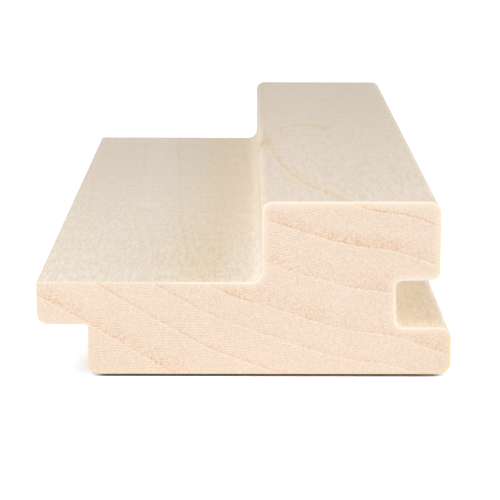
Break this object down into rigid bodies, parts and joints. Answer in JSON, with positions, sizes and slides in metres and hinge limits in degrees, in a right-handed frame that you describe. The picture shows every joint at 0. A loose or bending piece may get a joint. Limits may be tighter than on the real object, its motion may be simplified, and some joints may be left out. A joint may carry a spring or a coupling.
{
  "type": "tongue and groove board",
  "caption": "Short length of stepped wooden cladding: a thin panel with a tongue along one edge, and a tall rib with a groove and a lower lip along the other.",
  "frame": {"origin": "middle of the box round the board, on its flat back", "axes": "+X across the board from the tongue to the lip, +Y along its length, +Z from the back to the face"},
  "size_m": [0.0666, 0.2, 0.028],
  "materials": {
    "pale_wood": "matte"
  },
  "bodies": {
    "root": {"board": "pale_wood"}
  },
  "joints": []
}
